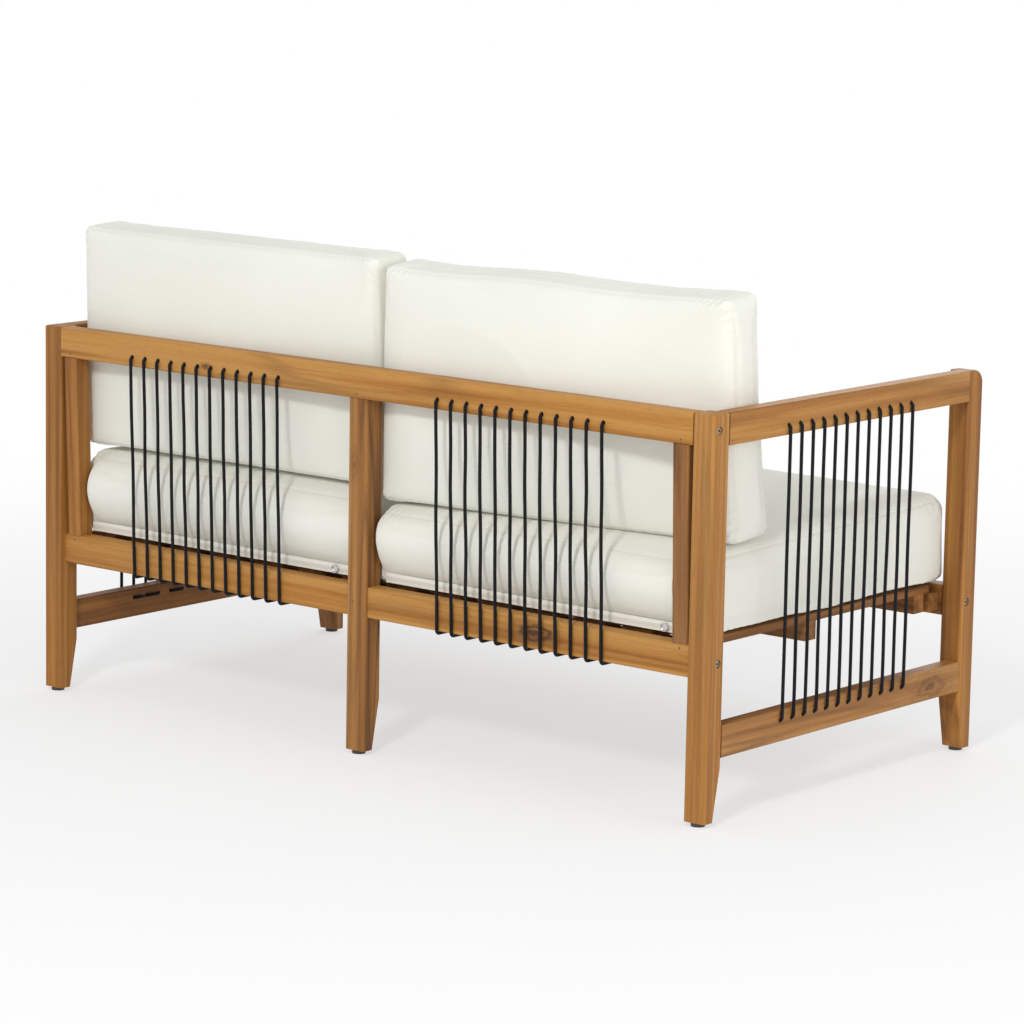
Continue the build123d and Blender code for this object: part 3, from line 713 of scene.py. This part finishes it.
def subdivided(thing, rest):
    """One subdivision of the cover, and of the points that it started from."""
    mirror = thing.copy()
    mirror.data = thing.data.copy()
    scene.collection.objects.link(mirror)
    for vert, start in zip(mirror.data.vertices, rest):
        vert.co = start
    for one in (thing, mirror):
        one.modifiers.new("smooth", "SUBSURF").levels = 1
        apply_modifiers(one)
    fine = [v.co.copy() for v in mirror.data.vertices]
    bpy.data.objects.remove(mirror)
    return fine


def soft_limit(value, low, high):
    """Keeps a coordinate between two walls, flattening gently against them."""
    if value > high - SOFT_EDGE:
        return high - SOFT_EDGE * math.exp(-(value - high + SOFT_EDGE) / SOFT_EDGE)
    if value < low + SOFT_EDGE:
        return low + SOFT_EDGE * math.exp((value - low - SOFT_EDGE) / SOFT_EDGE)
    return value


def bell(distance, reach):
    """1 at no distance, falling smoothly to nothing beyond the reach."""
    return math.exp(-(distance / reach) ** 2)


class Cover:
    """The simulated cover of one kind of cushion, from which each cushion of that kind is cut."""

    def __init__(self, name, size, rounds, plan_round):
        self.half = Vector(size) / 2
        inner = self.half - Vector((COVER_IN, COVER_IN, COVER_IN))
        self.thing = rounded_box(name, inner, rounds, plan_round)
        self.rest = subdivided(self.thing, inflate(self.thing))
        self.seams = []
        for way, soft in ((-1, rounds[0]), (1, rounds[1])):
            self.seams.append((inner.x - SEAM_IN * plan_round, inner.y - SEAM_IN * soft,
                               way * (inner.z - SEAM_IN * soft), plan_round))

    def seam_gap(self, p):
        """How far a point lies from the nearest seam."""
        best = FAR_SEAM
        for hx, hy, level, radius in self.seams:
            qx = abs(p.x) - (hx - radius)
            qy = abs(p.y) - (hy - radius)
            out = math.hypot(max(qx, 0), max(qy, 0)) + min(max(qx, qy), 0) - radius
            best = min(best, math.hypot(out, p.z - level))
        return best

    def corner_gap(self, p):
        """How far a point lies from the nearest corner of a seam."""
        hx, hy, level, radius = self.seams[1] if p.z > 0 else self.seams[0]
        return (Vector((abs(p.x), abs(p.y), p.z)) - Vector((hx - radius / 2, hy - radius / 2, level))).length

    def push(self, p, gap, shift):
        """How far the cover stands out at a point: lumps all over, and a groove and puckers at a seam."""
        out = sum(height * noise.noise(p * waves + shift) for height, waves in LUMPS)
        if gap < SEAM_BAND:
            out -= SEAM_DEPTH * bell(gap, SEAM_REACH)
            stray = PUCKER_STRAY * noise.noise(p * PUCKER_WAVES + shift)
            ripple = math.sin(p.dot(PUCKER_RUN) * TURN / PUCKER_LONG + stray)
            corner = bell(self.corner_gap(p), CORNER_REACH)
            out += ripple * (PUCKER_HEIGHT + PUCKER_CORNER * corner) * bell(gap, PUCKER_REACH)
        return out

    def cut(self, name, side, crowns, dip, seed):
        """One cushion: a copy of the cover, crowned and creased its own way, and mirrored for the other side."""
        thing = self.thing.copy()
        thing.data = self.thing.data.copy()
        thing.name = name
        scene.collection.objects.link(thing)
        shift = SEED_STEP * seed
        normals = [v.normal.copy() for v in thing.data.vertices]
        gaps = []
        half = self.half
        for vert, start, normal in zip(thing.data.vertices, self.rest, normals):
            gap = self.seam_gap(start)
            gaps.append(gap)
            p = vert.co + normal * self.push(start, gap, shift)
            p = Vector([soft_limit(p[i], -half[i], half[i]) for i in range(3)])
            u, v, w = (start[i] / half[i] for i in range(3))
            share = max(1 - abs(u) ** CROWN_POWER, 0) * max(1 - v * v, 0) * min(abs(w) * CROWN_EDGE, 1)
            p.z += share * (crowns[1] if w > 0 else -crowns[0])
            p.z -= dip * (v + 1) / 2 * (w + 1) / 2
            p.x *= side
            vert.co = p
        if side < 0:
            thing.data.flip_normals()
        layer = thing.data.attributes.new("seam_gap", "FLOAT", "POINT")
        layer.data.foreach_set("value", gaps)
        return thing


def clipped(value):
    return max(0.0, min(1.0, value))


def eased(value, low, high):
    """0 below low, 1 above high, with a smooth step between."""
    share = clipped((value - low) / (high - low))
    return share * share * (3 - 2 * share)


def finish_cover(thing, node):
    thing.data.update()
    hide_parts(node)
    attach(thing, node)


# Sizes of the cushions, and how each has settled

SEAT_THICK = 150.0 * MM
SEAT_ROUNDS = (10 * MM, 36 * MM)
SEAT_PLAN_ROUND = 18 * MM
SEAT_CROWN = 20.0 * MM
SEAT_DIPS = {"left": 8.0 * MM, "right": 21.0 * MM}
SEAT_SEED = 3
SEAT_FLOAT = 0.1 * MM
BACK_LENGTH = 380.0 * MM
BACK_THICK = 90.0 * MM
BACK_ROUNDS = (12 * MM, 12 * MM)
BACK_PLAN_ROUND = 11 * MM
BACK_CROWN_FRONT = 32.0 * MM
BACK_CROWNS = {"left": 16.0 * MM, "right": 34.0 * MM}
BACK_LEANS = {"left": 3.5, "right": 4.5}
BACK_TURNS = {"left": 0.0, "right": 2.0}
BACK_SEED = 7
BACK_GAP = 0.5 * MM
BACK_FOOT = 0.8

leg_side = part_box("back_centre_leg")[1][0]
stile_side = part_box("back_stile_left")[0][0]
slat_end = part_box("seat_slat_14")[1][0]
apron_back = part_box("front_apron")[1][1]
tape_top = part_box("zip_tape_left")[1][2]

# Where a seat cushion bulges into a bay of the back: how far, and its edges beside the leg, stile and corner
BAY_BULGE = 26.0 * MM
BAY_FLATTEN = 0.95
BAY_TOP = 8 * MM
BAY_LEG = (leg_side + 2 * MM, leg_side + 8 * MM)
BAY_STILE = (stile_side - 7 * MM, stile_side - 2 * MM)
BAY_DEPTH = (60 * MM, 12 * MM)
# Its bulge to the side, and how it droops over the ends of the slats
SIDE_BULGE = 4.0 * MM
SIDE_REACH = (slat_end - 60 * MM, slat_end)
DROOP = 9.0 * MM
DROOP_OUT = (slat_end + 1.5 * MM, slat_end + 5 * MM)
DROOP_FRONT = (apron_back + 6 * MM, apron_back + 40 * MM)
DROOP_REAR = (40 * MM, 12 * MM)
DROOP_RISE = (2 * MM, 70 * MM)
# How the left back cushion leans out and sinks at its foot
LEFT_FOOT_OUT = 18 * MM
LEFT_SINK = 1 * MM
# The same of the right one, which also turns its upper part in, its front foot forward and its top into a wave
RIGHT_FOOT_OUT = 32 * MM
RIGHT_TURN_IN = 12 * MM
RIGHT_FRONT_OUT = 18 * MM
RIGHT_FRONT_DEPTH = 20 * MM
RIGHT_FRONT_FALL = (0.35, 1.0)
RIGHT_SINK = 5 * MM
WAVE_HEIGHT = 5 * MM
WAVE_MIDDLE = 0.42
WAVE_REACH = 0.16
CORNER_HEIGHT = 3 * MM
CORNER_OUTER = (0.75, 0.95)
CORNER_INNER = (0.0, 0.2)
TOP_PART = (0.0, 0.5)
# Both stand out a little at their outer side
OUTER_WIDEN = 3 * MM
OUTER_PART = (0.9, 1.0)


def settle_seat(p, low, high):
    """The seat cushion pressed into the bays of the back, over the ends of the slats, and out at its side."""
    out = abs(p.x)
    level = (p.z - tape_top) / (low[2] + SEAT_THICK - BAY_TOP - tape_top)
    rise = max(0.0, math.sin(math.pi * clipped(level))) ** BAY_FLATTEN
    bay = eased(out, *BAY_LEG) * (1 - eased(out, *BAY_STILE))
    p.y += BAY_BULGE * rise * bay * eased(p.y, high[1] - BAY_DEPTH[0], high[1] - BAY_DEPTH[1])
    body = (p.z - low[2]) / SEAT_THICK
    along = 1 - abs((2 * p.y - low[1] - high[1]) / (high[1] - low[1])) ** 4
    side = SIDE_BULGE * math.sin(math.pi * clipped(body)) * max(0.0, along)
    p.x += math.copysign(side, p.x) * eased(out, *SIDE_REACH)
    over = eased(out, *DROOP_OUT) * eased(p.y, *DROOP_FRONT)
    over *= 1 - eased(p.y, high[1] - DROOP_REAR[0], high[1] - DROOP_REAR[1])
    p.z -= DROOP * over * (1 - eased(p.z, low[2] + DROOP_RISE[0], low[2] + DROOP_RISE[1]))


def settle_back(p, word, low, high):
    """The back cushion twisted by its own weight, as it stands in the photograph."""
    fall = max(0.0, (high[2] - p.z) / BACK_LENGTH)
    outer = abs(p.x) / max(abs(low[0]), abs(high[0]))
    if word == "left":
        p.y += LEFT_FOOT_OUT * fall * outer ** 2
        p.z -= LEFT_SINK * fall
    else:
        p.y += RIGHT_FOOT_OUT * fall * (1 - outer) ** 1.5 - RIGHT_TURN_IN * outer ** 2
        middle = -0.5 * (low[1] + high[1])
        front = eased(-p.y, middle - RIGHT_FRONT_DEPTH, middle + RIGHT_FRONT_DEPTH)
        p.y -= RIGHT_FRONT_OUT * eased(fall, *RIGHT_FRONT_FALL) * outer ** 3 * front
        wave = WAVE_HEIGHT * bell(outer - WAVE_MIDDLE, WAVE_REACH) + CORNER_HEIGHT * eased(outer, *CORNER_OUTER)
        p.z += (wave + CORNER_HEIGHT * (1 - eased(outer, *CORNER_INNER))) * (1 - eased(fall, *TOP_PART))
        p.z -= RIGHT_SINK * fall
    p.x += math.copysign(OUTER_WIDEN, p.x) * eased(outer, *OUTER_PART)


def make_seat(word, side):
    """One seat cushion, on the slats."""
    node = "seat_cushion_" + word
    low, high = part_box(node)
    seat = seat_cover.cut("seat_cover_" + word, side, (0.0, SEAT_CROWN), SEAT_DIPS[word], side + SEAT_SEED)
    mid = Vector(((low[0] + high[0]) / 2, (low[1] + high[1]) / 2, low[2] + SEAT_THICK / 2))
    seat.data.transform(Matrix.Translation(mid))
    for vert in seat.data.vertices:
        vert.co.z = max(vert.co.z, low[2] + SEAT_FLOAT)
        settle_seat(vert.co, low, high)
    finish_cover(seat, node)
    return seat


def make_back(word, side, seat):
    """One back cushion, leaning on the top rail and standing on its seat cushion."""
    node = "back_cushion_" + word
    low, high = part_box(node)
    back = back_cover.cut("back_cover_" + word, side, (BACK_CROWN_FRONT, BACK_CROWNS[word]), 0.0, side + BACK_SEED)
    lean = Matrix.Rotation(math.radians(-90 - BACK_LEANS[word]), 4, "X")
    back.data.transform(Matrix.Rotation(math.radians(BACK_TURNS[word]), 4, "Z") @ lean)
    points = [v.co for v in back.data.vertices]
    reach = [(min(p[i] for p in points), max(p[i] for p in points)) for i in range(3)]
    shift = Vector(((low[0] + high[0] - reach[0][0] - reach[0][1]) / 2, high[1] - BACK_GAP - reach[1][1],
                    (low[2] + high[2] - reach[2][0] - reach[2][1]) / 2))
    back.data.transform(Matrix.Translation(shift))
    surface = bvhtree.BVHTree.FromPolygons([v.co for v in seat.data.vertices],
                                           [p.vertices for p in seat.data.polygons])
    foot = high[2] - BACK_LENGTH * BACK_FOOT
    for vert in back.data.vertices:
        settle_back(vert.co, word, low, high)
        vert.co.y = min(vert.co.y, high[1] - BACK_GAP)
        if vert.co.z < foot:
            above = Vector((vert.co.x, vert.co.y, high[2]))
            hit = surface.ray_cast(above, Vector((0, 0, -1)))[0]
            if hit:
                vert.co.z = max(vert.co.z, hit.z + NEIGHBOUR_GAP)
    finish_cover(back, node)


seat_low, seat_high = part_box("seat_cushion_left")
seat_width, seat_depth = seat_high[0] - seat_low[0], seat_high[1] - seat_low[1]
seat_cover = Cover("seat_cover", (seat_width, seat_depth, SEAT_THICK), SEAT_ROUNDS, SEAT_PLAN_ROUND)
back_cover = Cover("back_cover", (seat_width, BACK_LENGTH, BACK_THICK), BACK_ROUNDS, BACK_PLAN_ROUND)
for word, side in SIDES.items():
    make_back(word, side, make_seat(word, side))
for one in (seat_cover.thing, back_cover.thing):
    bpy.data.objects.remove(one)


# Floor, light, background

WHITE = (1, 1, 1, 1)
FLOOR_TONE = (0.9, 0.9, 0.9, 1)
FLOOR_RADIUS = 30
FLOOR_DROP = 0.5 * MM
# The floor turns into the white ground between these distances, and is this much of it near the object
FLOOR_FADE = (0.9, 3.0)
FLOOR_NEAR = 0.58
SKY_TONE = (0.99, 1.0, 1.0, 1)
# The sky's strength low and high up, and the heights between which it changes
SKY_HEIGHTS = (0.1, 0.9)
SKY_STRENGTHS = (0.85, 0.55)


def direct_rays(tree):
    """1 for rays that come from the camera, from a gloss or through glass."""
    rays = tree.add("ShaderNodeLightPath").outputs
    seen = rays["Is Camera Ray"]
    for kind in ("Is Glossy Ray", "Is Transmission Ray"):
        seen = tree.add("ShaderNodeMath", {0: seen, 1: rays[kind]}, operation="MAXIMUM").outputs[0]
    return seen


def mapped(tree, value, limits, low, high, **values):
    """A value between two limits, brought to between low and high."""
    node = tree.add("ShaderNodeMapRange", {"Value": value, "From Min": limits[0], "From Max": limits[1],
                                           "To Min": low, "To Max": high}, **values)
    return node.outputs["Result"]


def blended(tree, output, factor, first, second):
    """Sends a blend of two shaders to an output node."""
    mix = tree.add("ShaderNodeMixShader", {"Fac": factor, 1: first.outputs[0], 2: second.outputs[0]})
    tree.add(output, {"Surface": mix.outputs[0]})


floor_material = bpy.data.materials.new("pale_floor")
tree = Tree(floor_material)
reach = tree.length(tree.add("ShaderNodeTexCoord").outputs["Object"])
far = mapped(tree, reach, FLOOR_FADE, FLOOR_NEAR, 1.0, interpolation_type="SMOOTHSTEP")
blended(tree, "ShaderNodeOutputMaterial", tree.math("MULTIPLY", far, direct_rays(tree)),
        tree.add("ShaderNodeBsdfDiffuse", {"Color": FLOOR_TONE}), tree.add("ShaderNodeEmission", {"Color": WHITE}))

bm = bmesh.new()
bmesh.ops.create_circle(bm, cap_ends=True, segments=96, radius=FLOOR_RADIUS)
floor = new_object("floor", bm, floor_material, smooth=False)
floor.location.z = -FLOOR_DROP

world = bpy.data.worlds.new("studio")
scene.world = world
tree = Tree(world)
height = tree.split(tree.add("ShaderNodeTexCoord").outputs["Generated"])["Z"]
sky = mapped(tree, height, SKY_HEIGHTS, *SKY_STRENGTHS)
blended(tree, "ShaderNodeOutputWorld", direct_rays(tree),
        tree.add("ShaderNodeBackground", {"Color": SKY_TONE, "Strength": sky}),
        tree.add("ShaderNodeBackground", {"Color": WHITE, "Strength": 1.0}))


def softbox(name, place, aim, size, watts):
    data = bpy.data.lights.new(name, "AREA")
    data.shape = "RECTANGLE"
    data.size, data.size_y = size
    data.energy = watts
    lamp = bpy.data.objects.new(name, data)
    lamp.location = place
    lamp.rotation_euler = (Vector(aim) - Vector(place)).to_track_quat("-Z", "Y").to_euler()
    scene.collection.objects.link(lamp)


softbox("key", (-1.9, 4.9, 3.6), (0, 0, 0.35), (0.7, 0.7), 122)
softbox("side", (-4.8, 0.3, 1.4), (-0.6, 0, 0.4), (2.4, 1.6), 46)
softbox("front", (1.8, -5.2, 2.2), (0, 0, 0.4), (2.4, 1.8), 50)
